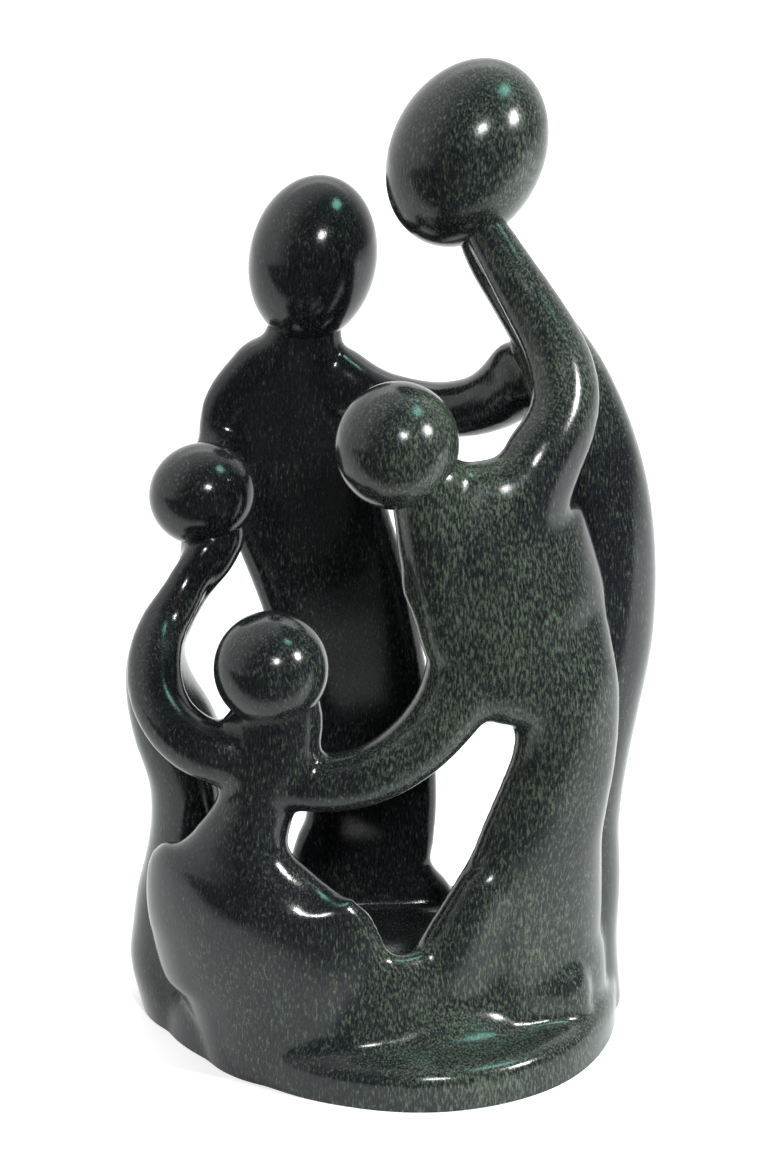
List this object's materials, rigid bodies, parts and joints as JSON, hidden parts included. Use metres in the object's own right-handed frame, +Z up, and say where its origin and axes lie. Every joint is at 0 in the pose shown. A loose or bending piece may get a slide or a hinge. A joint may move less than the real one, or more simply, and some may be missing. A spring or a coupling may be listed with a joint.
{
  "type": "family group sculpture",
  "caption": "Polished dark stone sculpture: a ring of abstract standing figures on an oval base, arms reaching from neck to neck.",
  "frame": {"origin": "middle of the oval base, on its flat underside", "axes": "+Z up along the standing figures, -Y towards the front, where the shortest figure stands, +X towards the viewer's right"},
  "size_m": [0.1659, 0.1515, 0.301],
  "materials": {
    "stone": "polished near-black green stone with fine grey-green flecks"
  },
  "bodies": {
    "root": {"family_group": "stone"}
  },
  "joints": []
}
